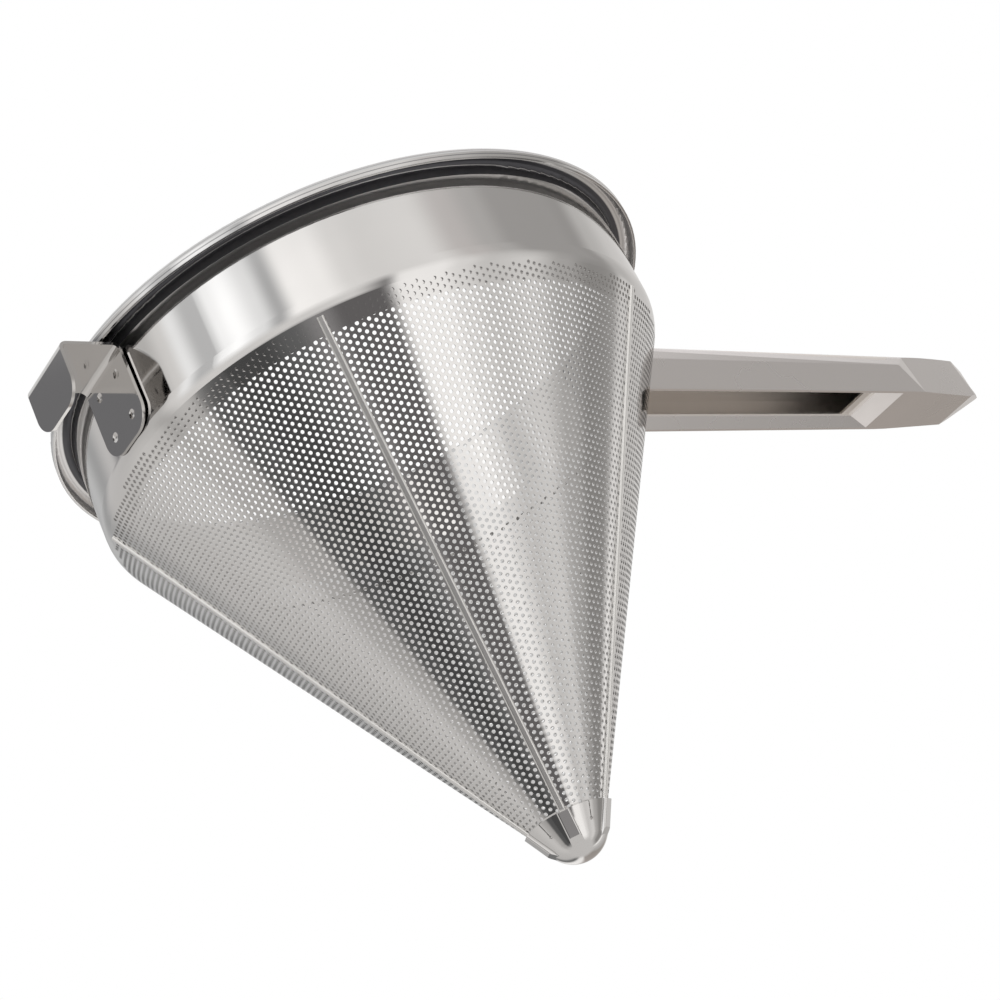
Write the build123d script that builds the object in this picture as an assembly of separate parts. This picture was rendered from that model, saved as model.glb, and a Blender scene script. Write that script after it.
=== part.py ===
from build123d import *
import os
from math import atan2, cos, degrees, hypot, pi, radians, sin, sqrt, tan

os.makedirs("parts", exist_ok=True)

# Chinois strainer in perforated sheet steel, in millimetres.
# The origin lies on the cone's axis, at the top of the collar's straight wall.
# +Z points up out of the mouth, the handle runs out along +X, and the rest hook is at -X.

# Collar: one sheet, rolled outwards at the rim and turned in under the cone's top edge.
rim_diameter = 260.0
band_diameter = 242.6
band_height = 40.0
collar_wall = 1.0
rim_skirt = 2.7
rim_crown = 3.0
shoulder_radius = 12.0
lip_length = 8.0

# Cone: one blank of perforated sheet, rolled up and closed by a seam on the handle's side.
cone_half_angle = 30.87
cone_wall = 0.8
foot_slant = 24.0
blank_middle_angle = 174.8

# Perforation of the sheet: round holes on a staggered grid, square to the blank's middle line.
# The drawn grid is the real one made coarser, with the same share of open area.
real_hole_pitch = 2.67
real_hole_diameter = 1.55
drawn_pitch_share = 6.5
hole_sides = 6
hole_margin = 2.0

# Ribs: narrow bars down the outside of the cone, at even angles.
rib_count = 5
first_rib_angle = 7.3
rib_width = 2.8
rib_height = 1.0
rib_edge_radius = 0.85
rib_top_gap = 1.0
rib_cover = 7.0

# Tip cap: a pressed cap of five lobes with slits between them, each lobe ridged over a rib's foot.
cap_wall = 1.2
tip_radius = 13.2
lobe_slant = 32.0
slit_width = 0.4
slit_end_radius = 0.7
slit_slant = 25.5
ridge_slant = 14.0
ridge_crest_slant = 21.5
ridge_root = 0.8
ridge_edge_radius = 0.8

# Rest hook: a bent strip, spot-welded flat against the collar.
hook_width = 29.5
hook_wall = 1.3
hook_reach = 26.0
hook_web_drop = 3.5
hook_inner_leg = 35.5
hook_outer_leg = 24.0
hook_bend_radius = 2.5
hook_corner_radius = 9.0
hook_weld_spacing_y = 14.6
hook_weld_spacing_z = 18.4
hook_weld_radius = 2.2
hook_weld_margin = 7.8
dimple_radius = 4.0
dimple_depth = 0.5

# Handle: a folded shell, open along its underside, with a closed nose.
handle_width = 34.0
handle_length = 325.0
handle_height = 27.0
handle_top = 2.8
handle_wall = 1.2
handle_crown_width = 31.0
handle_crown_drop = 9.0
lip_gap_width = 22.0
lip_rise = 6.0
lip_edge = 1.6
slot_end = 117.0
recess_slope = 28.0
recess_reach = 34.0
nose_length = 87.0
nose_bevel = 10.0
nose_step = 1.2
prow_length = 23.0
prow_width = 23.6
prow_rise = 9.0
prow_rise_length = 30.0
handle_bend_radius = 3.5
prow_bend_radius = 6.0
prow_tip_radius = 1.6
rim_clearance = 1.0

# Saddle: the curved plate between the handle and the collar, with the weld beads.
saddle_wall = 1.5
saddle_width = 62.0
saddle_height = 30.0
saddle_drop = 4.5
saddle_corner_radius = 7.0
bead_radius = 2.2
bead_height = 17.0

# One overrun serves all cuts.
overrun = 5.0

# Values worked out from the sizes above.
alpha = radians(cone_half_angle)
rim_radius = rim_diameter / 2
band_radius = band_diameter / 2
bore_radius = band_radius - collar_wall
apex_z = -(band_height + band_radius / tan(alpha))
corner_slant = band_radius / sin(alpha)
shoulder_tangent = shoulder_radius * tan(alpha / 2)
sheet_top_slant = corner_slant - shoulder_tangent
rib_step = 360.0 / rib_count
rib_angles = [first_rib_angle + rib_step * index for index in range(rib_count)]


def on_cone(slant, offset=0.0):
    """Point (radius, height) at a slant distance up from the apex, offset out of the sheet's outer face."""
    radius = slant * sin(alpha) + offset * cos(alpha)
    height = apex_z + slant * cos(alpha) - offset * sin(alpha)
    return (radius, height)


def turned(edges, angle=360.0):
    """Solid made by turning a closed outline of (radius, height) edges about the axis."""
    return revolve(Plane.XZ * make_face(edges), Axis.Z, revolution_arc=angle)


def closed_outline(points):
    """Edges of a closed outline with straight sides."""
    return Polyline(*points, close=True).edges()


def cone_shell(low_slant, high_slant, low_offset, high_offset, angle=360.0):
    """Part of a conical shell that lies parallel to the sheet."""
    corners = [
        on_cone(low_slant, low_offset),
        on_cone(low_slant, high_offset),
        on_cone(high_slant, high_offset),
        on_cone(high_slant, low_offset),
    ]
    return turned(closed_outline(corners), angle)


def cone_plane(slant, azimuth, offset=0.0):
    """Plane on the cone at an azimuth in degrees, with its normal out of the sheet."""
    radius, height = on_cone(slant, offset)
    turn = radians(azimuth)
    origin = (radius * cos(turn), radius * sin(turn), height)
    normal = (cos(alpha) * cos(turn), cos(alpha) * sin(turn), -sin(alpha))
    return Plane(origin=origin, x_dir=(-sin(turn), cos(turn), 0), z_dir=normal)


def collar():
    """Rolled rim, straight band, rounded shoulder and the inner lip that backs the cone's top edge."""
    inner_offset = -(cone_wall + collar_wall)
    inner_slant = (bore_radius - inner_offset * cos(alpha)) / sin(alpha)
    inner_radius = shoulder_radius - cone_wall - collar_wall
    inner_tangent = inner_radius * tan(alpha / 2)
    inner_corner = on_cone(inner_slant, inner_offset)
    lip_slant = sheet_top_slant - lip_length
    skirt_radius = rim_radius - collar_wall
    crown_inner = rim_crown - collar_wall
    up, down, inward, outward = (0, 1), (0, -1), (-1, 0), (1, 0)
    wall_foot = (bore_radius, inner_corner[1] + inner_tangent)
    lip_start = on_cone(inner_slant - inner_tangent, inner_offset)
    lip_inner = on_cone(lip_slant, inner_offset)
    lip_outer = on_cone(lip_slant, -cone_wall)
    seat_inner = on_cone(sheet_top_slant, -cone_wall)
    seat_outer = on_cone(sheet_top_slant)
    band_foot = (band_radius, shoulder_tangent - band_height)
    edges = [
        Line((rim_radius, -rim_skirt), (rim_radius, 0)),
        TangentArc((rim_radius, 0), (rim_radius - rim_crown, rim_crown), tangent=up),
        Line((rim_radius - rim_crown, rim_crown), (bore_radius + rim_crown, rim_crown)),
        TangentArc((bore_radius + rim_crown, rim_crown), (bore_radius, 0), tangent=inward),
        Line((bore_radius, 0), wall_foot),
        TangentArc(wall_foot, lip_start, tangent=down),
        Line(lip_start, lip_inner),
        Line(lip_inner, lip_outer),
        Line(lip_outer, seat_inner),
        Line(seat_inner, seat_outer),
        TangentArc(band_foot, seat_outer, tangent=down),
        Line(band_foot, (band_radius, 0)),
        TangentArc((band_radius, 0), (bore_radius + rim_crown, crown_inner), tangent=up),
        Line((bore_radius + rim_crown, crown_inner), (rim_radius - rim_crown, crown_inner)),
        TangentArc((rim_radius - rim_crown, crown_inner), (skirt_radius, 0), tangent=outward),
        Line((skirt_radius, 0), (skirt_radius, -rim_skirt)),
        Line((skirt_radius, -rim_skirt), (rim_radius, -rim_skirt)),
    ]
    return turned(edges)


def rib_distance(slant, azimuth):
    """Distance over the sheet from a point to the nearest rib's middle line."""
    nearest = min(abs((azimuth - angle + 180) % 360 - 180) for angle in rib_angles)
    return slant * sin(radians(nearest) * sin(alpha))


def hole_places(pitch, radius):
    """Slant and azimuth of each hole, from a staggered grid on the flat blank."""
    half_flat = pi * sin(alpha)
    top = sheet_top_slant - lip_length - hole_margin - radius
    foot = lobe_slant + hole_margin + radius
    rib_gap = radius + rib_width / 2 + hole_margin
    row_step = pitch * sqrt(3) / 2
    rows = int(top / row_step) + 1
    columns = int(top / pitch) + 1
    places = []
    for row in range(-rows, rows + 1):
        for column in range(-columns, columns + 1):
            along = row * row_step
            across = (column + (row % 2) / 2) * pitch
            slant = hypot(along, across)
            if slant < foot or slant > top:
                continue
            flat = atan2(across, along)
            seam_gap = slant * sin(half_flat - abs(flat))
            azimuth = blank_middle_angle + degrees(flat / sin(alpha))
            if seam_gap > radius + hole_margin and rib_distance(slant, azimuth) > rib_gap:
                places.append((slant, azimuth))
    return places


def cone_sheet():
    """The cone, cut through by its holes."""
    sheet = cone_shell(foot_slant, sheet_top_slant, -cone_wall, 0)
    pitch = real_hole_pitch * drawn_pitch_share
    radius = real_hole_diameter * drawn_pitch_share / 2
    outline = RegularPolygon(radius=radius, side_count=hole_sides)
    places = hole_places(pitch, radius)
    print("drawn holes", len(places))
    cuts = [
        extrude(cone_plane(slant, azimuth) * outline, amount=overrun, both=True)
        for slant, azimuth in places
    ]
    return sheet - cuts


def rib_bar(index, sink=0.0):
    """Bar along the cone, from under the shoulder to under the tip cap, with its foot sunk by a depth."""
    foot = lobe_slant - rib_cover
    head = sheet_top_slant - rib_top_gap
    turn = radians(rib_angles[index])
    radius, height = on_cone(foot, -sink)
    up_slope = (sin(alpha) * cos(turn), sin(alpha) * sin(turn), cos(alpha))
    plane = Plane(
        origin=(radius * cos(turn), radius * sin(turn), height),
        x_dir=(-sin(turn), cos(turn), 0),
        z_dir=up_slope,
    )
    bar_section = Rectangle(rib_width, rib_height + sink, align=(Align.CENTER, Align.MAX))
    outer_corners = bar_section.vertices().group_by(Axis.Y)[0]
    bar_section = fillet(outer_corners, rib_edge_radius)
    return extrude(plane * bar_section, amount=head - foot)


def ridge(azimuth):
    """Raised fold of a lobe over a rib, rising out of the cap's nose."""
    half_width = rib_width / 2 + cap_wall
    base = cap_wall / 2
    crest = rib_height + cap_wall
    length = lobe_slant - ridge_slant
    section = Rectangle(2 * half_width, crest + ridge_root, align=(Align.CENTER, Align.MAX))
    section = fillet(section.vertices().group_by(Axis.Y)[0], ridge_edge_radius)
    radius, height = on_cone(ridge_slant, -ridge_root)
    turn = radians(azimuth)
    up_slope = (sin(alpha) * cos(turn), sin(alpha) * sin(turn), cos(alpha))
    plane = Plane(
        origin=(radius * cos(turn), radius * sin(turn), height),
        x_dir=(-sin(turn), cos(turn), 0),
        z_dir=up_slope,
    )
    profile = [
        on_cone(ridge_slant, -ridge_root),
        on_cone(foot_slant, base),
        on_cone(lobe_slant, base),
        on_cone(lobe_slant, crest),
        on_cone(ridge_crest_slant, crest),
    ]
    sides = extrude(Plane.XZ * make_face(closed_outline(profile)), amount=half_width, both=True)
    return extrude(plane * section, amount=length) & Rot(0, 0, azimuth) * sides


def tip_cap():
    """Rounded cap that closes the foot of the cone, scalloped at its edge, with a pocket for each rib."""
    centre_z = apex_z + (tip_radius - cap_wall) / sin(alpha)
    tip_z = centre_z - tip_radius
    tangent_slant = (centre_z - apex_z) * cos(alpha)
    ledge_inner = on_cone(foot_slant, -cone_wall)
    ledge_outer = on_cone(foot_slant)
    edge_inner = on_cone(lobe_slant)
    edge_outer = on_cone(lobe_slant, cap_wall)
    nose_start = on_cone(tangent_slant, cap_wall)
    floor_point = (0, tip_z + cap_wall)
    level = (1, 0)
    edges = [
        Line(edge_inner, ledge_outer),
        Line(ledge_outer, ledge_inner),
        TangentArc(floor_point, ledge_inner, tangent=level),
        Line(floor_point, (0, tip_z)),
        TangentArc((0, tip_z), nose_start, tangent=level),
        Line(nose_start, edge_outer),
        Line(edge_outer, edge_inner),
    ]
    cuts = []
    ridges = []
    for index, angle in enumerate(rib_angles):
        ridges.append(ridge(angle))
        cuts.append(rib_bar(index, cone_wall))
        plane = cone_plane(slit_slant, angle + rib_step / 2)
        slit = Rectangle(slit_width, lobe_slant, align=(Align.CENTER, Align.MIN))
        cuts.append(extrude(plane * slit, amount=overrun, both=True))
        cuts.append(extrude(plane * Circle(slit_end_radius), amount=overrun, both=True))
    return (turned(edges) + ridges) - cuts


def weld_places():
    """Places (y, z) of the four spot welds of the hook's inner leg."""
    low = -hook_web_drop - hook_inner_leg + hook_weld_margin
    return [
        (side * hook_weld_spacing_y / 2, low + step * hook_weld_spacing_z)
        for side in (-1, 1)
        for step in (0, 1)
    ]


def rest_hook():
    """Bent strip that hangs on the far edge of a pot, with dimples where it is welded."""
    inner_x = -band_radius
    outer_x = inner_x - hook_reach
    top_z = -hook_web_drop
    inner_foot = top_z - hook_inner_leg
    outer_foot = top_z - hook_outer_leg
    block = Pos(inner_x, inner_foot) * Rectangle(
        hook_reach, hook_inner_leg, align=(Align.MAX, Align.MIN)
    )
    block = fillet(block.vertices().group_by(Axis.Y)[-1], hook_bend_radius + hook_wall)
    space = Pos(inner_x - hook_wall, inner_foot) * Rectangle(
        hook_reach - 2 * hook_wall, hook_inner_leg - hook_wall, align=(Align.MAX, Align.MIN)
    )
    space = fillet(space.vertices().group_by(Axis.Y)[-1], hook_bend_radius)
    spare = Pos(outer_x, outer_foot) * Rectangle(
        hook_wall, outer_foot - inner_foot, align=(Align.MIN, Align.MAX)
    )
    strip = Plane.XZ * (block - space - spare)
    hook = extrude(strip, amount=hook_width / 2, both=True)
    leg_corners = hook.edges().filter_by(Axis.X).filter_by(lambda edge: edge.length < 2 * hook_wall)
    hook = fillet(leg_corners, hook_corner_radius)
    dimple_x = inner_x - hook_wall - dimple_radius + dimple_depth
    for place_y, place_z in weld_places():
        hook = hook - Pos(dimple_x, place_y, place_z) * Rot(0, 0, 180) * Sphere(dimple_radius)
    return hook


def hook_welds():
    """Spot-weld nuggets that fill the narrow gap between the flat leg and the round band."""
    band = Cylinder(band_radius, 2 * (band_height + overrun))
    nuggets = []
    for place_y, place_z in weld_places():
        disc = Cylinder(hook_weld_radius, overrun, align=(Align.CENTER, Align.CENTER, Align.MIN))
        nugget = Pos(-band_radius, place_y, place_z) * Rot(0, 90, 0) * disc
        nuggets.append(nugget - band)
    return nuggets


# Handle values that several pieces share.
saddle_radius = band_radius + saddle_wall
handle_end = band_radius + handle_length
nose_start_x = handle_end - nose_length
slot_end_x = handle_end - slot_end
handle_foot = handle_top - handle_height


def handle_section(inset):
    """Cross-section (y, z) of the handle's outside, or of its hollow when inset by the wall."""
    half_crown = handle_crown_width / 2 - inset
    half_width = handle_width / 2 - inset
    top = handle_top - inset
    shoulder = handle_top - handle_crown_drop
    foot = handle_foot + inset
    points = [
        (-half_crown, top),
        (half_crown, top),
        (half_width, shoulder),
        (half_width, foot),
        (-half_width, foot),
        (-half_width, shoulder),
    ]
    section = make_face(closed_outline(points))
    bends = section.vertices().filter_by(lambda corner: corner.Y > foot + inset)
    return Plane.YZ * fillet(bends, handle_bend_radius - inset)


def handle_plan(inset):
    """Plan (x, y) of the handle, with the tapered nose and the pointed prow."""
    half_width = handle_width / 2 - inset
    half_neck = half_width - nose_step
    half_prow = prow_width / 2 - inset
    side = [
        (0, half_width),
        (nose_start_x, half_width),
        (nose_start_x + nose_bevel, half_neck),
        (handle_end - prow_length, half_prow),
    ]
    mirrored = [(along, -across) for along, across in reversed(side)]
    plan = make_face(closed_outline(side + [(handle_end - inset, 0)] + mirrored))
    bends = plan.vertices().group_by(Axis.X)[-2]
    plan = fillet(bends, prow_bend_radius - inset)
    tip = plan.vertices().group_by(Axis.X)[-1]
    return fillet(tip, prow_tip_radius - inset)


def handle_recess(inset):
    """Space between the two turned-in lips, which ends in a slope at the nose."""
    grow = handle_wall - inset
    half_gap = lip_gap_width / 2 + grow
    half_foot = handle_width / 2 - lip_edge + grow
    top = handle_foot + lip_rise + grow
    points = [
        (-half_foot, handle_foot - overrun),
        (-half_foot, handle_foot),
        (-half_gap, top),
        (half_gap, top),
        (half_foot, handle_foot),
        (half_foot, handle_foot - overrun),
    ]
    far = slot_end_x + recess_reach + grow
    prism = extrude(Plane.YZ * make_face(closed_outline(points)), amount=far)
    slope = [
        (far - recess_slope, top),
        (far, handle_foot - overrun),
        (far + overrun, handle_foot - overrun),
        (far + overrun, top + overrun),
        (far - recess_slope, top + overrun),
    ]
    wedge = extrude(Plane.XZ * make_face(closed_outline(slope)), amount=handle_width, both=True)
    return prism - wedge


def handle_body(inset):
    """Outer form of the handle, or its hollow when inset by the wall."""
    bar = extrude(handle_section(inset), amount=handle_end)
    plan = extrude(Pos(0, 0, handle_foot - overrun) * handle_plan(inset), amount=handle_height + 2 * overrun)
    rise = [
        (handle_end - prow_rise_length, handle_foot + inset),
        (handle_end, handle_foot + prow_rise + inset),
        (handle_end + overrun, handle_foot + prow_rise + inset),
        (handle_end + overrun, handle_foot - overrun),
        (handle_end - prow_rise_length, handle_foot - overrun),
    ]
    under = extrude(Plane.XZ * make_face(closed_outline(rise)), amount=handle_width, both=True)
    return (bar & plan) - under - handle_recess(handle_wall - inset)


def handle_shell():
    """Folded handle: hollow, slotted underneath, and notched to pass under the rolled rim."""
    slot_length = slot_end_x
    slot_box = Pos(0, 0, handle_foot + lip_rise) * Box(
        slot_length,
        lip_gap_width,
        2 * handle_wall + overrun,
        align=(Align.MIN, Align.CENTER, Align.CENTER),
    )
    shell = handle_body(0) - handle_body(handle_wall) - slot_box
    root = Cylinder(saddle_radius, 2 * (handle_height + overrun))
    notch = Pos(0, 0, -rim_skirt - rim_clearance) * Cylinder(
        rim_radius + rim_clearance,
        handle_height,
        align=(Align.CENTER, Align.CENTER, Align.MIN),
    )
    return shell - root - notch


def saddle():
    """Curved plate, welded flat to the collar, that carries the handle."""
    angle = degrees(saddle_width / saddle_radius)
    foot = -saddle_drop - saddle_height
    corners = [
        (band_radius, -saddle_drop),
        (saddle_radius, -saddle_drop),
        (saddle_radius, foot),
        (band_radius, foot),
    ]
    plate = turned(closed_outline(corners), angle)
    ends = plate.edges().filter_by(GeomType.LINE).filter_by(lambda edge: edge.length < 2 * saddle_wall)
    plate = fillet(ends, saddle_corner_radius)
    return Rot(0, 0, -angle / 2) * plate


def handle_beads():
    """Two weld beads in the corners between the handle's sides and the saddle."""
    half_width = handle_width / 2
    corner_x = sqrt(saddle_radius**2 - half_width**2)
    middle_z = handle_foot + bead_height / 2
    shell = handle_shell()
    plate = Cylinder(saddle_radius, 2 * (handle_height + overrun))
    beads = []
    for side in (-1, 1):
        rod = Pos(corner_x, side * half_width, middle_z) * Cylinder(bead_radius, bead_height)
        inner = Pos(corner_x, side * half_width / 2, middle_z) * Box(
            2 * bead_radius + overrun, half_width, bead_height + overrun
        )
        beads.append(rod - inner - shell - plate)
    return beads


def write(name, pieces):
    """Write one node's file, with its pieces as separate solids."""
    solids = [solid for piece in pieces for solid in piece.solids()]
    export_step(Compound(label=name, children=solids), f"parts/{name}.step")
    print(name, len(solids), "solids", round(sum(solid.volume for solid in solids)), "mm3")


write("collar", [collar()])
write("cone_sheet", [cone_sheet()])
for number in range(rib_count):
    write(f"rib_{number + 1}", [rib_bar(number)])
write("tip_cap", [tip_cap()])
write("rest_hook", [rest_hook()])
write("hook_welds", hook_welds())
write("handle_shell", [handle_shell()])
write("handle_saddle", [saddle()])
write("handle_welds", handle_beads())
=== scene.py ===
# %% [markdown]
# # A chinois strainer in stainless steel
# The strainer hangs in the air with its mouth up, its handle along +X and its rest hook at -X.
# The construction comes in as a fixed frame of parts, in metres.
# This lesson gives those parts their steel, and replaces the cone's coarse holes with ones of the size that
# was read from the photograph.

# %% Load the frame
import bpy
from math import atan2, cos, degrees, hypot, pi, radians, sin, sqrt, tan
from mathutils import Matrix, Vector


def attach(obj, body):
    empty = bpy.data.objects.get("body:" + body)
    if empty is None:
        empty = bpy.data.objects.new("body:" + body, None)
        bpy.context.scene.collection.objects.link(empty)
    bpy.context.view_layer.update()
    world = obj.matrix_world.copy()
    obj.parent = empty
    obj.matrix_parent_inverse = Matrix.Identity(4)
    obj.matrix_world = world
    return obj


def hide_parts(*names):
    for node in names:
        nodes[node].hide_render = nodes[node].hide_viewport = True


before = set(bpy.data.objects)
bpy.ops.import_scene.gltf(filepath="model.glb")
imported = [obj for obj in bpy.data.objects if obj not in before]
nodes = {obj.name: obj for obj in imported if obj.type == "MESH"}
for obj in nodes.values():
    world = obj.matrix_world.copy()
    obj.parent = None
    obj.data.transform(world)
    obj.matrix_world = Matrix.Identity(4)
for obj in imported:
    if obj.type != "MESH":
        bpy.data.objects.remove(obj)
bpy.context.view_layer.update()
print("nodes in the frame:", sorted(nodes))

# %% [markdown]
# ## Two small helpers
# A colour is easiest to write as the hex value that an image editor shows, but the renderer adds up light,
# so one function turns hex into linear values. A material is a graph of nodes, and writing each node in three
# or four lines soon hides what the graph does, so one function adds a node with its settings and its links.


# %% Colour and node helpers
def linear(hex_code):
    """Linear red, green, blue and alpha of an sRGB hex colour."""
    parts = [int(hex_code[start:start + 2], 16) / 255 for start in (1, 3, 5)]
    return [c / 12.92 if c <= 0.04045 else ((c + 0.055) / 1.055) ** 2.4 for c in parts] + [1.0]


def add_node(tree, kind, inputs=None, stops=(), **settings):
    """Adds a node. An input is a plain value, or the output socket that feeds it.

    A colour ramp also takes stops, each a place and a hex colour."""
    node = tree.nodes.new(kind)
    for name, value in settings.items():
        setattr(node, name, value)
    for name, value in (inputs or {}).items():
        if isinstance(value, bpy.types.NodeSocket):
            tree.links.new(value, node.inputs[name])
        else:
            node.inputs[name].default_value = value
    if stops:
        ramp = node.color_ramp
        ramp.interpolation = "EASE"
        while len(ramp.elements) < len(stops):
            ramp.elements.new(0.5)
        for element, (place, hex_code) in zip(ramp.elements, stops):
            element.position = place
        for element, (place, hex_code) in zip(ramp.elements, stops):
            element.color = linear(hex_code)
    return node


mm = 0.001
print("linear mid grey:", [round(v, 3) for v in linear("#808080")])

# %% [markdown]
# ## Polished stainless steel
# Every piece here is taken to be stainless steel, so they share one graph, and differ in how the surface
# was made. Steel is a metal: metallic 1, with its tint in the base colour and the default IOR. What tells the
# finishes apart is roughness. A real sheet is never evenly smooth, so a broad noise moves the roughness a
# little, and a finer noise lifts the surface by microns as a bump. On the cone that bump is drawn out down
# the slope, on the handle along its length, and on the collar and the strips up and down.
# Real polishing lines are far too fine to show at this size, so the grain is drawn millimetres coarse.
# One painted texture could carry all that, but it would need an image. Noise nodes work at any distance.


# %% Places for the grain
def flat_place(tree, stretch):
    """Coordinates in metres, stretched so that a noise on them is drawn out along an axis."""
    place = add_node(tree, "ShaderNodeTexCoord").outputs["Object"]
    return add_node(tree, "ShaderNodeMapping", {"Vector": place, "Scale": stretch}).outputs["Vector"]


def rolled_place(tree, radius):
    """Coordinates that change around the axis but hardly along the slope, at a typical radius."""
    place = add_node(tree, "ShaderNodeTexCoord").outputs["Object"]
    flattened = add_node(tree, "ShaderNodeMapping", {"Vector": place, "Scale": (1, 1, 0)})
    around = add_node(tree, "ShaderNodeVectorMath", {0: flattened.outputs["Vector"]}, operation="NORMALIZE")
    scaled = add_node(
        tree, "ShaderNodeMapping", {"Vector": around.outputs["Vector"], "Scale": (radius,) * 3})
    return scaled.outputs["Vector"]


print("two kinds of place for the grain: flat, and rolled around the axis")


# %% [markdown]
# ## Three places with painted shade, painted light or a turned normal
# The narrow gap between the rolled rim and the collar gets painted shade, a dark and rough steel, and the
# roll shows rings and lines of the same painted shade, with a paler, rougher steel as painted light in its
# hollow.
# Inside the handle a paler and more matt steel is painted light, which brightens the hollow. The upper part
# of the hook's welded leg reflects another part of the room than the lower part, as if it leaned by a few
# degrees.
# Masks by place keep all this in one graph, where a second material would need faces of its own.


# %% The rolled rim
gap_inner, gap_outer, roll_inner, roll_outer = 121.0 * mm, 121.45 * mm, 121.5 * mm, 129.3 * mm
gap_floor, roll_top, rim_foot, rim_head = -3.5 * mm, 2.2 * mm, -2.8 * mm, 3.0 * mm


def mask_of(tree, *terms):
    """Product of its terms. A term is a socket, or a test that gives 1 or 0, as (value, side, limit)."""
    result = None
    for term in terms:
        if isinstance(term, tuple):
            value, side, limit = term
            test = add_node(tree, "ShaderNodeMath", {0: value, 1: limit}, operation=side)
            term = test.outputs["Value"]
        if result is None:
            result = term
        else:
            both = add_node(tree, "ShaderNodeMath", {0: result, 1: term}, operation="MULTIPLY")
            result = both.outputs["Value"]
    return result


def painted_shade_roll(tree, place, polished):
    """Mixes painted shade into a polished shader: white stops are painted shade, black ones are clean steel.
    """
    height = add_node(tree, "ShaderNodeSeparateXYZ", {"Vector": place}).outputs["Z"]
    level = add_node(tree, "ShaderNodeMapping", {"Vector": place, "Scale": (1, 1, 0)})
    length = add_node(tree, "ShaderNodeVectorMath", {0: level.outputs["Vector"]}, operation="LENGTH")
    radius = length.outputs["Value"]
    across = add_node(
        tree, "ShaderNodeMapRange", {"Value": radius, "From Min": roll_inner, "From Max": roll_outer})
    # Painted shade: rings of dark steel across the roll's ceiling.
    rings = add_node(tree, "ShaderNodeValToRGB", {"Fac": across.outputs["Result"]}, stops=[
        (0.0, "#000000"), (0.02, "#FFFFFF"), (0.38, "#FFFFFF"), (0.45, "#303030"), (0.50, "#000000"),
        (0.60, "#808080"), (0.66, "#000000"), (0.82, "#000000"), (0.88, "#707070"), (0.94, "#000000"),
    ])
    ceiling = mask_of(tree, rings.outputs["Color"], (height, "LESS_THAN", roll_top))
    up = add_node(tree, "ShaderNodeMapRange", {"Value": height, "From Min": rim_foot, "From Max": rim_head})
    # Painted shade: lines of dark steel at set heights on the outside of the roll.
    lines = add_node(tree, "ShaderNodeValToRGB", {"Fac": up.outputs["Result"]}, stops=[
        (0.0, "#A0A0A0"), (0.08, "#000000"), (0.22, "#000000"), (0.29, "#D8D8D8"), (0.36, "#000000"),
        (0.55, "#000000"), (0.62, "#A0A0A0"), (0.68, "#000000"), (0.86, "#202020"), (0.96, "#C0C0C0"),
    ])
    outside = mask_of(tree, lines.outputs["Color"], (radius, "GREATER_THAN", roll_outer))
    # Painted shade fills the narrow gap between the roll and the collar.
    wall = mask_of(
        tree, (radius, "GREATER_THAN", gap_inner), (radius, "LESS_THAN", gap_outer),
        (height, "GREATER_THAN", gap_floor), (height, "LESS_THAN", roll_top),
    )
    shade_bands = add_node(tree, "ShaderNodeMath", {0: ceiling, 1: outside}, operation="MAXIMUM")
    mask = add_node(tree, "ShaderNodeMath", {0: shade_bands.outputs["Value"], 1: wall}, operation="MAXIMUM")
    hollow = mask_of(
        tree, (radius, "GREATER_THAN", gap_inner), (radius, "LESS_THAN", roll_outer),
        (height, "GREATER_THAN", rim_foot), (height, "LESS_THAN", roll_top),
    )
    # Painted light: a paler, rougher steel that brightens the hollow under the rim.
    lit_roll_skin = add_node(
        tree, "ShaderNodeBsdfPrincipled",
        {"Base Color": linear("#F2F1F0"), "Metallic": 1.0, "Roughness": 0.4},
    )
    # The painted shade itself: a dark, rough steel.
    painted_shade = add_node(
        tree, "ShaderNodeBsdfPrincipled",
        {"Base Color": linear("#66666A"), "Metallic": 1.0, "Roughness": 0.5},
    )
    inside = add_node(
        tree, "ShaderNodeMixShader", {"Fac": hollow, 1: polished, 2: lit_roll_skin.outputs["BSDF"]})
    shaded = add_node(
        tree, "ShaderNodeMixShader",
        {"Fac": mask.outputs["Value"], 1: inside.outputs["Shader"], 2: painted_shade.outputs["BSDF"]},
    )
    return shaded.outputs["Shader"]


print("hollow under the rim:", round((roll_outer - gap_inner) / mm, 2), "mm across")


# %% The inside of the handle
hollow_half_width, hollow_top, hollow_floor = 16.4 * mm, 1.8 * mm, -19.0 * mm
crown_start, crown_lean = -6.2 * mm, 1 / 6
taper_start, taper_lean, hollow_end = 352.0 * mm, 0.11, 418.0 * mm


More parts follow.
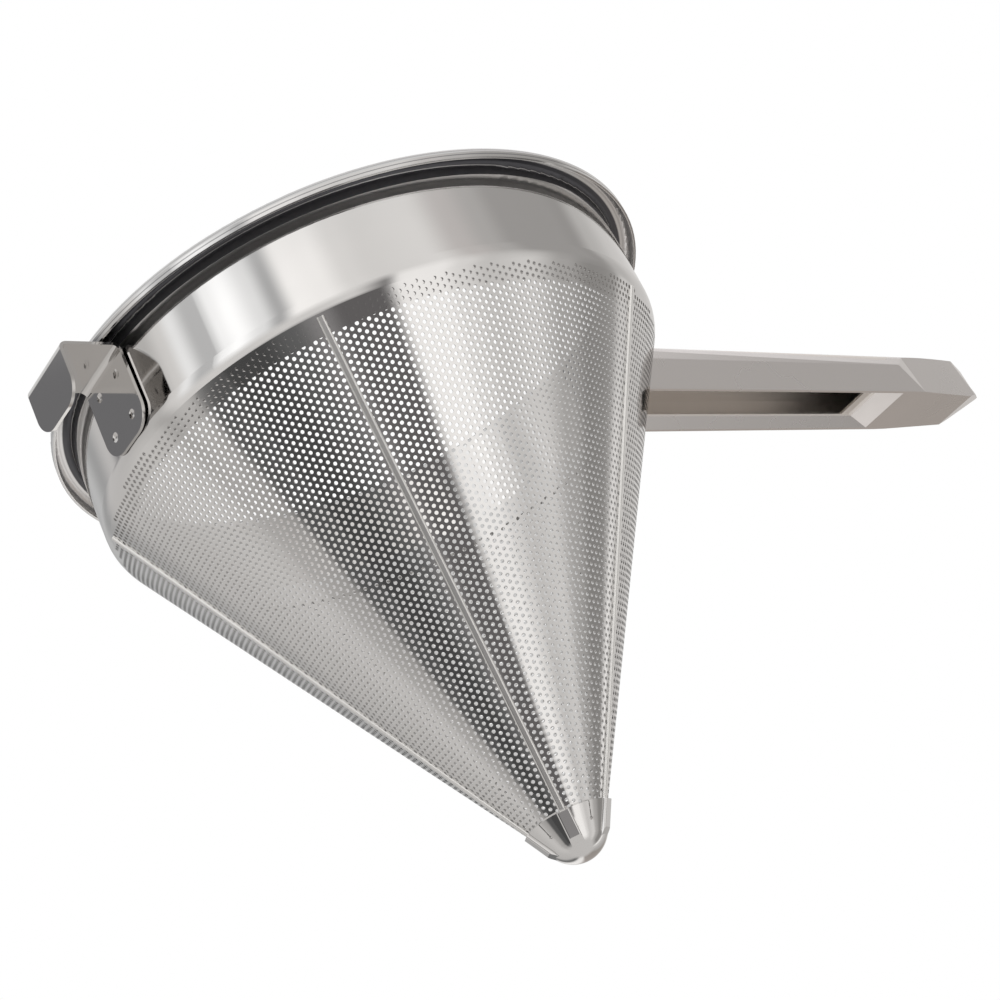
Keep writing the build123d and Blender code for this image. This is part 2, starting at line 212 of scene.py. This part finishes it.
def painted_light_hollow(tree, place, brushed):
    """Mixes a pale skin, painted light, into a brushed shader, inside the folded handle only."""
    split = add_node(tree, "ShaderNodeSeparateXYZ", {"Vector": place})
    width = add_node(tree, "ShaderNodeMath", {0: split.outputs["Y"]}, operation="ABSOLUTE")
    rise = add_node(tree, "ShaderNodeMath", {0: split.outputs["Z"], 1: crown_start}, operation="SUBTRACT")
    climb = add_node(tree, "ShaderNodeMath", {0: rise.outputs["Value"], 1: 0.0}, operation="MAXIMUM")
    leaned = add_node(
        tree, "ShaderNodeMath",
        {0: climb.outputs["Value"], 1: crown_lean, 2: width.outputs["Value"]}, operation="MULTIPLY_ADD",
    )
    past = add_node(tree, "ShaderNodeMath", {0: split.outputs["X"], 1: taper_start}, operation="SUBTRACT")
    onward = add_node(tree, "ShaderNodeMath", {0: past.outputs["Value"], 1: 0.0}, operation="MAXIMUM")
    tapered = add_node(
        tree, "ShaderNodeMath",
        {0: onward.outputs["Value"], 1: taper_lean, 2: leaned.outputs["Value"]}, operation="MULTIPLY_ADD",
    )
    mask = mask_of(
        tree, (tapered.outputs["Value"], "LESS_THAN", hollow_half_width),
        (split.outputs["Z"], "LESS_THAN", hollow_top), (split.outputs["Z"], "GREATER_THAN", hollow_floor),
        (split.outputs["X"], "LESS_THAN", hollow_end),
    )
    # Painted light: the paler, more matt skin brightens the inside of the handle.
    skin = add_node(
        tree, "ShaderNodeBsdfPrincipled",
        {"Base Color": linear("#F6F1EC"), "Metallic": 1.0, "Roughness": 0.45},
    )
    mixed = add_node(tree, "ShaderNodeMixShader", {"Fac": mask, 1: brushed, 2: skin.outputs["BSDF"]})
    return mixed.outputs["Shader"]


print("pale skin inside the handle, up to", round(hollow_end / mm), "mm from the axis")


# %% The hook's welded leg
leg_face, kick_height, kick_slant, kick_lean = -130.0 * mm, -13.5 * mm, 0.75, 0.07
facing_outward = -0.97


def kicked_leg(tree, place, flat):
    """Leans the normal up on the part of the welded leg that is above a slanting line."""
    facing = add_node(tree, "ShaderNodeTexCoord").outputs["Normal"]
    turned = add_node(tree, "ShaderNodeSeparateXYZ", {"Vector": facing})
    split = add_node(tree, "ShaderNodeSeparateXYZ", {"Vector": place})
    over = add_node(
        tree, "ShaderNodeMath",
        {0: split.outputs["Y"], 1: -kick_slant, 2: split.outputs["Z"]}, operation="MULTIPLY_ADD",
    )
    leg = mask_of(
        tree, (turned.outputs["X"], "LESS_THAN", facing_outward),
        (split.outputs["X"], "GREATER_THAN", leg_face), (over.outputs["Value"], "GREATER_THAN", kick_height),
    )
    lean = add_node(tree, "ShaderNodeMath", {0: leg, 1: kick_lean}, operation="MULTIPLY")
    upward = add_node(tree, "ShaderNodeCombineXYZ", {"Z": lean.outputs["Value"]})
    leaned = add_node(tree, "ShaderNodeVectorMath", {0: flat, 1: upward.outputs["Vector"]}, operation="ADD")
    unit = add_node(tree, "ShaderNodeVectorMath", {0: leaned.outputs["Vector"]}, operation="NORMALIZE")
    return unit.outputs["Vector"]


print("welded leg leans by", round(degrees(kick_lean), 1), "degrees above the kick")


# %% [markdown]
# ## One graph for every finish
# Each finish is one call: a tint, a roughness and how far it wanders, and the size and lift of its grain.
# Roughness is 0.06 to 0.09 where the steel is polished, 0.25 for satin, and 0.32 to 0.38 for drawn bar and
# weld metal. Eight separate graphs would do the same, but a change to one would not reach the others.

# %% Steel finishes
cloud_size = 40 * mm
worn_share = 0.93
noise_low, noise_high = 0.3, 0.7


def steel(
    name, tint, roughness, spread, grain_mm, lift_mm,
    stretch=(1, 1, 1), radius=None, second=None, lean=None,
):
    """Stainless steel with a wandering roughness, and a grain whose size and lift are given in millimetres.

    A second finish gets the shader and mixes another into it. A lean gets the normal and turns it."""
    material = bpy.data.materials.new(name)
    material.use_nodes = True
    tree = material.node_tree
    tree.nodes.clear()
    place = add_node(tree, "ShaderNodeTexCoord").outputs["Object"]
    cloud = add_node(
        tree, "ShaderNodeTexNoise",
        {"Vector": place, "Scale": 1 / cloud_size, "Detail": 3.0, "Roughness": 0.55},
    )
    wander = add_node(
        tree, "ShaderNodeMapRange",
        {"Value": cloud.outputs["Fac"], "From Min": noise_low, "From Max": noise_high,
         "To Min": roughness - spread, "To Max": roughness + spread},
    )
    grain_place = rolled_place(tree, radius) if radius else flat_place(tree, stretch)
    grain = add_node(
        tree, "ShaderNodeTexNoise",
        {"Vector": grain_place, "Scale": 1 / (grain_mm * mm), "Detail": 2.0},
    )
    bump = add_node(
        tree, "ShaderNodeBump",
        {"Height": grain.outputs["Fac"], "Strength": 1.0, "Distance": lift_mm * mm},
    )
    worn_tint = [c * worn_share for c in linear(tint)[:3]] + [1.0]
    tone = add_node(
        tree, "ShaderNodeMixRGB",
        {"Fac": cloud.outputs["Fac"], "Color1": linear(tint), "Color2": worn_tint},
    )
    normal = lean(tree, place, bump.outputs["Normal"]) if lean else bump.outputs["Normal"]
    surface = add_node(
        tree, "ShaderNodeBsdfPrincipled",
        {"Base Color": tone.outputs["Color"], "Metallic": 1.0,
         "Roughness": wander.outputs["Result"], "Normal": normal},
    )
    shader = second(tree, place, surface.outputs["BSDF"]) if second else surface.outputs["BSDF"]
    add_node(tree, "ShaderNodeOutputMaterial", {"Surface": shader})
    return material


# Mirror polish on the collar: sharp, stretched pictures of the room, with hard pale and dark edges.
# Its rolled rim gets painted shade in the gap, in rings and in lines, and painted light in its hollow.
mirror_steel = steel(
    "mirror_polished_steel", "#DBDAD9", 0.06, 0.03, 3.0, 0.001, stretch=(1, 1, 0.15), second=painted_shade_roll)
# Polish on the small cap: the same sharp pictures, squeezed into narrow lines by its tight curves.
cap_steel = steel("turned_cap_steel", "#DFDEDD", 0.07, 0.03, 3.0, 0.001)
# Drawn bar on the ribs: a soft pale line without a picture in it.
bar_steel = steel("drawn_bar_steel", "#F0EFED", 0.32, 0.04, 2.0, 0.001)
# Rolled sheet on the cone: bright, with reflections broken into streaks that run down the slope.
sheet_steel = steel("rolled_sheet_steel", "#DCDBDA", 0.07, 0.025, 9.0, 0.05, radius=70 * mm)
# Bright strip on the saddle and the hook: flat faces that each mirror one even tone.
strip_steel = steel("bright_strip_steel", "#D6D4D2", 0.09, 0.03, 2.0, 0.001, stretch=(1, 1, 0.2))
hook_steel = steel(
    "bent_strip_steel", "#D6D4D2", 0.07, 0.02, 2.0, 0.001, stretch=(1, 1, 0.2), lean=kicked_leg)
# Satin on the handle: a calm, soft sheen along its length, in which no object can be made out.
# Inside, the handle gets painted light: a paler, more matt steel that brightens its hollow.
handle_steel = steel(
    "satin_pressed_steel", "#EEEAE8", 0.25, 0.04, 1.5, 0.0004, stretch=(0.1, 1, 1), second=painted_light_hollow)
# Weld metal: duller and a little straw-coloured, as heat leaves it.
weld_steel = steel("welded_steel", "#A89F92", 0.38, 0.08, 0.5, 0.02)
print("steels:", [m.name for m in bpy.data.materials])


# %% [markdown]
# ## Steel on the parts
# The finish sits on the object, so the mesh of the construction stays as it came. What has no finish of its
# own in the list is a rib, or the coarse cone, which the perforated sheet replaces further down.

# %% Give each part its steel
def dress(node, material):
    """Puts a material on a part of the frame, on the object rather than on its mesh."""
    for slot in node.material_slots:
        slot.link = "OBJECT"
        slot.material = material


finishes = {
    "collar": mirror_steel,
    "tip_cap": cap_steel,
    "handle_saddle": strip_steel,
    "rest_hook": hook_steel,
    "hook_welds": weld_steel,
    "handle_shell": handle_steel,
    "handle_welds": weld_steel,
}
for name, node in nodes.items():
    dress(node, finishes.get(name, bar_steel))
print("dressed:", len(nodes), "parts")

# %% [markdown]
# ## The pressed nose of the handle
# Toward its end the handle's flanks lean in at the top, as if a press had squeezed the shell, and a slim
# three-cornered facet leads from the flat flank into that lean. The solid part has upright flanks there.
# Its mesh stays as it is, and a small geometry nodes modifier moves its points: out a little at the foot, in
# at the crown. A lattice would do it too, but here each amount is one plain number in millimetres.

# %% Press the nose
nose_start, nose_bend = 359.3 * mm, 10.0 * mm
foot_height, shell_height = -24.2 * mm, 27.0 * mm
foot_spread, crown_squeeze, tip_half_width = 0.9 * mm, 2.3 * mm, 8.0 * mm

press = bpy.data.node_groups.new("pressed_nose", "GeometryNodeTree")
press.interface.new_socket("Geometry", in_out="INPUT", socket_type="NodeSocketGeometry")
press.interface.new_socket("Geometry", in_out="OUTPUT", socket_type="NodeSocketGeometry")
shell_in = add_node(press, "NodeGroupInput")
where = add_node(press, "GeometryNodeInputPosition").outputs["Position"]
axes = add_node(press, "ShaderNodeSeparateXYZ", {"Vector": where})

# A map range node's first five sockets: the value, its two ends, and what each end becomes.
along = add_node(press, "ShaderNodeMapRange", {
    0: axes.outputs["X"], 1: nose_start, 2: nose_start + nose_bend, 3: 0.0, 4: 1.0})
shift = add_node(press, "ShaderNodeMapRange", {
    0: axes.outputs["Z"], 1: foot_height, 2: foot_height + shell_height,
    3: foot_spread, 4: foot_spread - crown_squeeze})
width = add_node(press, "ShaderNodeMath", {0: axes.outputs["Y"]}, operation="ABSOLUTE")
fade = add_node(press, "ShaderNodeMapRange", {
    0: width.outputs["Value"], 1: 0.0, 2: tip_half_width, 3: 0.0, 4: 1.0})
side = add_node(press, "ShaderNodeMath", {0: axes.outputs["Y"]}, operation="SIGN")
push = mask_of(press, along.outputs[0], shift.outputs[0], fade.outputs[0], side.outputs["Value"])
sideways = add_node(press, "ShaderNodeCombineXYZ", {"Y": push})
moved = add_node(press, "GeometryNodeSetPosition", {"Offset": sideways.outputs["Vector"]})
press.links.new(shell_in.outputs["Geometry"], moved.inputs["Geometry"])
shell_out = add_node(press, "NodeGroupOutput")
press.links.new(moved.outputs["Geometry"], shell_out.inputs["Geometry"])
squeeze = nodes["handle_shell"].modifiers.new("pressed_nose", "NODES")
squeeze.node_group = press
print("nose squeezed by", round(crown_squeeze / mm, 1), "mm at the crown")

# %% [markdown]
# ## The perforated cone
# The cone is made here from a flat blank, a fan shape, punched with round holes on a staggered grid and
# rolled up. Over thirteen thousand holes would be a heavy job for boolean cuts, and a transparent texture
# would have no thickness. Working as a sheet metal shop would is lighter: each hole gets a six-sided cell of
# the flat blank, the cells share their corners, and one function rolls every point onto the cone.

# %% Sizes of the cone, in metres
half_angle = radians(30.87)
sheet_wall = 0.8 * mm
hole_pitch = 2.67 * mm
hole_diameter = 1.55 * mm
hole_sides = 12
band_radius = 121.3 * mm
band_height = 40.0 * mm
shoulder_radius = 12.0 * mm
foot_slant = 24.0 * mm
edge_margin = 0.4 * mm
seam_margin = 1.5 * mm
blank_middle = radians(174.8)
rib_count = 5
first_rib_angle = radians(7.3)
sector_angle = 2 * pi / rib_count
crease_angle = radians(40)
# Corners of neighbouring cells that fall on the same tenth of a micron are one point.
steps_per_metre = 1e7
edge_halvings = 24

apex_z = -(band_height + band_radius / tan(half_angle))
top_slant = band_radius / sin(half_angle) - shoulder_radius * tan(half_angle / 2)
half_blank = pi * sin(half_angle)
print("blank opens over", round(degrees(2 * half_blank), 1), "degrees")


# %% Roll the blank
def rolled(x, y, depth):
    """Point of the cone for a point of the flat blank, at a depth under the outer face."""
    slant = hypot(x, y)
    turn = blank_middle + atan2(y, x) / sin(half_angle)
    radius = slant * sin(half_angle) - depth * cos(half_angle)
    height = apex_z + slant * cos(half_angle) + depth * sin(half_angle)
    return (radius * cos(turn), radius * sin(turn), height)


def inside(point):
    """True for a point of the blank between its foot, its top edge and its two seam edges."""
    x, y = point
    return foot_slant <= hypot(x, y) <= top_slant and abs(atan2(y, x)) <= half_blank


def edge_point(inner, outer):
    """Where the line from a point on the blank to one off it crosses the blank's edge."""
    for _ in range(edge_halvings):
        middle = ((inner[0] + outer[0]) / 2, (inner[1] + outer[1]) / 2)
        if inside(middle):
            inner = middle
        else:
            outer = middle
    return inner


def trimmed(corners):
    """Corners of a cell, cut off at the blank's edge."""
    kept = []
    for here, after in zip(corners, corners[1:] + corners[:1]):
        if inside(here):
            kept.append(here)
        if inside(here) != inside(after):
            ends = (here, after) if inside(here) else (after, here)
            kept.append(edge_point(*ends))
    return kept


def room_for_hole(x, y):
    """True where a whole hole fits on the blank, clear of its edges and of the seam."""
    slant = hypot(x, y)
    reach = hole_diameter / 2 + edge_margin
    seam_gap = slant * sin(half_blank - abs(atan2(y, x)))
    return foot_slant + reach < slant < top_slant - reach and seam_gap > hole_diameter / 2 + seam_margin


class SheetMesh:
    """Collects the two faces of the sheet and the walls of its holes."""

    def __init__(self):
        self.index, self.points, self.faces = {}, [], []

    def point(self, x, y, depth):
        key = (round(x * steps_per_metre), round(y * steps_per_metre), depth > 0)
        if key not in self.index:
            self.index[key] = len(self.points)
            self.points.append(rolled(x, y, depth))
        return self.index[key]

    def face(self, corners):
        """One face of the outside, and its twin on the inside."""
        self.faces.append([self.point(x, y, 0.0) for x, y in corners])
        self.faces.append([self.point(x, y, sheet_wall) for x, y in reversed(corners)])

    def wall(self, a, b):
        outer = [self.point(*a, 0.0), self.point(*b, 0.0)]
        inner = [self.point(*b, sheet_wall), self.point(*a, sheet_wall)]
        self.faces.append(outer + inner)

    def cell(self, x, y):
        corner_reach = hole_pitch / sqrt(3)
        corners = [(x + corner_reach * cos(k * pi / 3), y + corner_reach * sin(k * pi / 3)) for k in range(6)]
        if not room_for_hole(x, y) or not all(inside(corner) for corner in corners):
            cut = trimmed(corners)
            if len(cut) > 2:
                self.face(cut)
            return 0
        turns = [2 * pi * k / hole_sides for k in range(hole_sides)]
        rim = [(x + hole_diameter / 2 * cos(turn), y + hole_diameter / 2 * sin(turn)) for turn in turns]
        for k in range(6):
            a, b = corners[k], corners[(k + 1) % 6]
            first, middle, last = rim[2 * k], rim[2 * k + 1], rim[(2 * k + 2) % hole_sides]
            self.face([a, b, middle])
            self.face([a, middle, first])
            self.face([b, last, middle])
        for k in range(hole_sides):
            self.wall(rim[(k + 1) % hole_sides], rim[k])
        return 1


# %% Punch and roll the sheet
sectors = [SheetMesh() for _ in range(rib_count)]
row_step = hole_pitch * sqrt(3) / 2
rows = int(top_slant / row_step) + 2
columns = int(top_slant / hole_pitch) + 2
holes = 0
for row in range(-rows, rows + 1):
    for column in range(-columns, columns + 1):
        x, y = row * row_step, (column + (row % 2) / 2) * hole_pitch
        slant = hypot(x, y)
        if not foot_slant - hole_pitch < slant < top_slant + hole_pitch:
            continue
        if abs(atan2(y, x)) > half_blank + hole_pitch / slant:
            continue
        turn = (blank_middle + atan2(y, x) / sin(half_angle) - first_rib_angle) % (2 * pi)
        holes += sectors[min(rib_count - 1, int(turn / sector_angle))].cell(x, y)

for number, sector in enumerate(sectors):
    mesh = bpy.data.meshes.new(f"perforated_sheet_{number + 1}")
    mesh.from_pydata(sector.points, [], sector.faces)
    mesh.update()
    mesh.shade_smooth()
    mesh.set_sharp_from_angle(angle=crease_angle)
    mesh.materials.append(sheet_steel)
    piece = bpy.data.objects.new(f"perforated_sheet_{number + 1}", mesh)
    bpy.context.scene.collection.objects.link(piece)
    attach(piece, "root")
    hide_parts("cone_sheet")
print("holes punched:", holes)

# %% [markdown]
# ## The studio
# Polished steel shows hardly any colour of its own: it shows the room. A plain white room would make it flat,
# so the room has a broad grey level with a few pale and dark fields, as soft boxes and screens give in a
# studio. They could be lit panels, but a panel can stand in another view. Painted into the world by
# direction, they are seen only as reflections, and the camera itself sees plain white.
# Heights are those of a direction: -1 looks straight down, 0 is level and 1 is straight up.

# %% The studio
lower_ring_top, upper_ring_foot = -0.2, 0.15
crown_foot, crown_full = 0.54, 0.62
ground_start, ground_full = -0.74, -0.88
studio_strength = 1.5
world = bpy.data.worlds.new("studio")
bpy.context.scene.world = world
world.use_nodes = True
sky = world.node_tree
sky.nodes.clear()
toward = add_node(sky, "ShaderNodeTexCoord").outputs["Generated"]
split = add_node(sky, "ShaderNodeSeparateXYZ", {"Vector": toward})
turned = add_node(
    sky, "ShaderNodeMath", {0: split.outputs["Y"], 1: split.outputs["X"]}, operation="ARCTAN2")
around = add_node(
    sky, "ShaderNodeMapRange", {"Value": turned.outputs["Value"], "From Min": -pi, "From Max": pi})


# A stop of a ring: the place around from -X by way of -Y, as a share of the turn, and the brightness there.
upper_ring = add_node(sky, "ShaderNodeValToRGB", {"Fac": around.outputs["Result"]}, stops=[
    (0.0, "#C8C8C8"), (0.012, "#F0F0F0"), (0.03, "#FFFFFF"), (0.06, "#DCDCDC"), (0.08, "#A2A2A2"),
    (0.10, "#F0EEEC"), (0.13, "#EAE8E6"), (0.16, "#D2D0CE"), (0.185, "#CCCAC8"), (0.245, "#D2D0CE"),
    (0.285, "#B4B0AE"), (0.32, "#A4A2A0"), (0.35, "#949290"), (0.415, "#92908E"), (0.44, "#8E8C8A"),
    (0.47, "#AAA8A6"), (0.515, "#B8B6B4"), (0.58, "#BCBAB8"), (0.64, "#AEADAC"), (0.68, "#9A9A9A"),
    (0.72, "#A8A8A8"), (0.76, "#949494"), (0.80, "#B4B2B1"), (0.92, "#ACAAA8"), (0.945, "#C8C6C4"),
    (0.962, "#E0E0E0"), (0.985, "#B0B0B0"),
])
lower_ring = add_node(sky, "ShaderNodeValToRGB", {"Fac": around.outputs["Result"]}, stops=[
    (0.0, "#424242"), (0.04, "#424242"), (0.08, "#5A5A5A"), (0.115, "#7E7C7C"), (0.14, "#5C5A5A"),
    (0.185, "#5C5A5A"), (0.205, "#E4E2E0"), (0.22, "#E6E4E2"), (0.245, "#E4E2E0"), (0.27, "#D0CECC"),
    (0.30, "#BCBAB8"), (0.345, "#C6C4C2"), (0.385, "#9E9C9A"), (0.425, "#7E7C7A"), (0.455, "#807E7C"),
    (0.478, "#E4E2E0"), (0.495, "#B8B6B4"), (0.54, "#A09E9C"), (0.57, "#8C8782"), (0.63, "#928C88"),
    (0.652, "#DEDCDA"), (0.67, "#DEDCDA"), (0.70, "#606060"), (0.745, "#ACAAA8"), (0.80, "#B0AEAC"),
    (0.88, "#BAB8B6"), (0.90, "#B4B2B0"), (0.92, "#A2A09E"), (0.949, "#989694"), (0.968, "#505050"),
])
lift = add_node(sky, "ShaderNodeMapRange", {
    "Value": split.outputs["Z"], "From Min": lower_ring_top, "From Max": upper_ring_foot})


def card(base, stops, low, high, hex_code):
    """Paints a colour over part of a ring: white stops show it, and it comes in between two heights."""
    share = add_node(sky, "ShaderNodeValToRGB", {"Fac": around.outputs["Result"]}, stops=stops)
    level = add_node(
        sky, "ShaderNodeMapRange", {"Value": split.outputs["Z"], "From Min": low, "From Max": high})
    amount = mask_of(sky, share.outputs["Color"], level.outputs["Result"])
    painted = add_node(
        sky, "ShaderNodeMixRGB", {"Fac": amount, "Color1": base, "Color2": linear(hex_code)})
    return painted.outputs["Color"]


# A dark screen for the hook's legs, and a pale card that keeps the collar's shoulder light on that side.
above = card(
    upper_ring.outputs["Color"],
    [(0.80, "#000000"), (0.825, "#FFFFFF"), (0.88, "#FFFFFF"), (0.905, "#000000")],
    low=0.38, high=0.45, hex_code="#68686A")
below = card(
    lower_ring.outputs["Color"],
    [(0.0, "#FFFFFF"), (0.15, "#FFFFFF"), (0.2, "#000000"), (0.92, "#000000"), (0.95, "#FFFFFF")],
    low=-0.42, high=-0.32, hex_code="#C8C6C4")
ring = add_node(
    sky, "ShaderNodeMixRGB",
    {"Fac": lift.outputs["Result"], "Color1": below, "Color2": above},
)
crown = add_node(sky, "ShaderNodeValToRGB", {"Fac": around.outputs["Result"]}, stops=[
    (0.3, "#C4C4C4"), (0.4, "#BCBABA"), (0.48, "#C4C2C2"), (0.6, "#C4C4C4"),
])
crest = add_node(sky, "ShaderNodeMapRange", {
    "Value": split.outputs["Z"], "From Min": crown_foot, "From Max": crown_full})
overhead = add_node(
    sky, "ShaderNodeMixRGB",
    {"Fac": crest.outputs["Result"], "Color1": ring.outputs["Color"], "Color2": crown.outputs["Color"]},
)
depth = add_node(sky, "ShaderNodeMapRange", {
    "Value": split.outputs["Z"], "From Min": ground_start, "From Max": ground_full})
reflected = add_node(sky, "ShaderNodeMixRGB", {
    "Fac": depth.outputs["Result"], "Color1": overhead.outputs["Color"], "Color2": linear("#B4B2B0")})
path = add_node(sky, "ShaderNodeLightPath")
mirrored = add_node(
    sky, "ShaderNodeBackground", {"Color": reflected.outputs["Color"], "Strength": studio_strength})
plain = add_node(sky, "ShaderNodeBackground", {"Color": (1, 1, 1, 1), "Strength": 1.0})
seen = add_node(sky, "ShaderNodeMixShader", {
    "Fac": path.outputs["Is Camera Ray"],
    1: mirrored.outputs["Background"], 2: plain.outputs["Background"]})
add_node(sky, "ShaderNodeOutputWorld", {"Surface": seen.outputs["Shader"]})
bpy.context.scene.view_settings.view_transform = "Standard"
print("studio stops:", len(upper_ring.color_ramp.elements), "above,",
      len(lower_ring.color_ramp.elements), "below")

# %% [markdown]
# ## The floor
# The strainer floats, so the floor is only a pale ground far below it. It is kept out of the reflections,
# since the studio's rings already give what the steel shows from below.

# %% Floor
floor_height = -0.46
floor_reach = 3.0
patches_across = 6.0
floor_corners = [
    (x * floor_reach, y * floor_reach, floor_height) for x, y in ((-1, -1), (1, -1), (1, 1), (-1, 1))]
floor_mesh = bpy.data.meshes.new("floor")
floor_mesh.from_pydata(floor_corners, [], [(0, 1, 2, 3)])
floor = bpy.data.objects.new("floor", floor_mesh)
bpy.context.scene.collection.objects.link(floor)
floor_paint = bpy.data.materials.new("pale_floor")
floor_paint.use_nodes = True
floor_tree = floor_paint.node_tree
floor_tree.nodes.clear()
mottle = add_node(floor_tree, "ShaderNodeTexNoise", {"Scale": patches_across, "Detail": 2.0})
shade = add_node(
    floor_tree, "ShaderNodeMixRGB",
    {"Fac": mottle.outputs["Fac"], "Color1": linear("#F2F2F2"), "Color2": linear("#F6F6F6")},
)
paint = add_node(
    floor_tree, "ShaderNodeBsdfPrincipled", {"Base Color": shade.outputs["Color"], "Roughness": 0.9})
add_node(floor_tree, "ShaderNodeOutputMaterial", {"Surface": paint.outputs["BSDF"]})
floor.data.materials.append(floor_paint)
floor.visible_glossy = False
print("floor at", floor_height, "m")

# %% [markdown]
# ## The camera
# The camera stands below the strainer, between -X and -Y, and looks up at it. Its place, direction and lens
# come from a fit to the rim, the cone's edges, the ribs, the hook and the handle in the photograph, so they
# are written as a place and two directions.

# %% Camera
camera_place = Vector((-0.49688, -0.49718, -0.39679))
camera_right = Vector((0.73867, -0.5393, -0.40438))
camera_up = Vector((0.03168, -0.57147, 0.82001))
camera = bpy.data.objects.new("camera", bpy.data.cameras.new("camera"))
camera.data.sensor_width = 36.0
camera.data.lens = 68.72
camera.data.clip_start = 0.01
facing = Matrix((camera_right, camera_up, camera_right.cross(camera_up))).transposed()
camera.matrix_world = Matrix.Translation(camera_place) @ facing.to_4x4()
bpy.context.scene.collection.objects.link(camera)
bpy.context.scene.camera = camera
print("camera at", tuple(camera_place))
